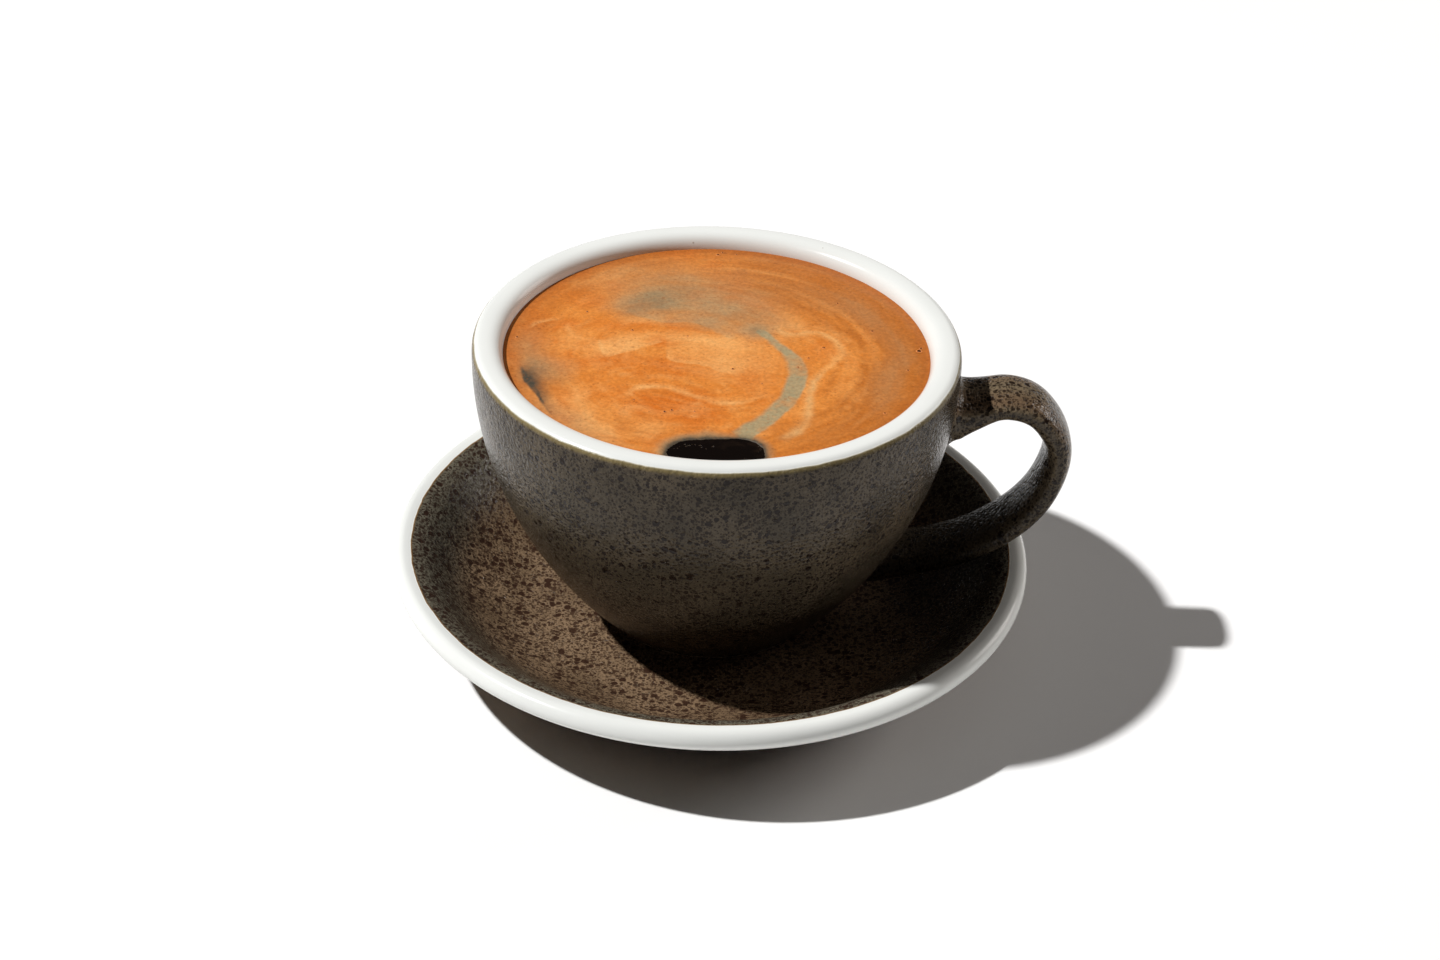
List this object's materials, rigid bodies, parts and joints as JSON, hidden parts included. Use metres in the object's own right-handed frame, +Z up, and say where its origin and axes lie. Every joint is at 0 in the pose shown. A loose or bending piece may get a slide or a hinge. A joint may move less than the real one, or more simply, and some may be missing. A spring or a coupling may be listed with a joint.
{
  "type": "black coffee in a cup with its saucer",
  "caption": "Black coffee under an orange-brown crema, filled almost to the brim of a thick-walled cup with a loop handle, standing on a deep saucer with a rolled rim.",
  "frame": {"origin": "on the surface the saucer stands on, under the middle of the bounding box; the common axis of cup, drink and saucer is 3.8 mm from it towards -X", "axes": "+Z up, +X towards the handle, -Y towards the side where the bare coffee shows in the crema"},
  "size_m": [0.1626, 0.155, 0.08],
  "materials": {
    "granite_glaze": "satin speckled glaze on stoneware, glossy white glaze inside the cup and on both rims",
    "black_coffee": "clear glossy liquid surface",
    "crema_foam": "fine damp foam with swirls"
  },
  "bodies": {
    "root": {"cup": "granite_glaze", "saucer": "granite_glaze", "coffee": "black_coffee", "crema": "crema_foam"}
  },
  "joints": []
}
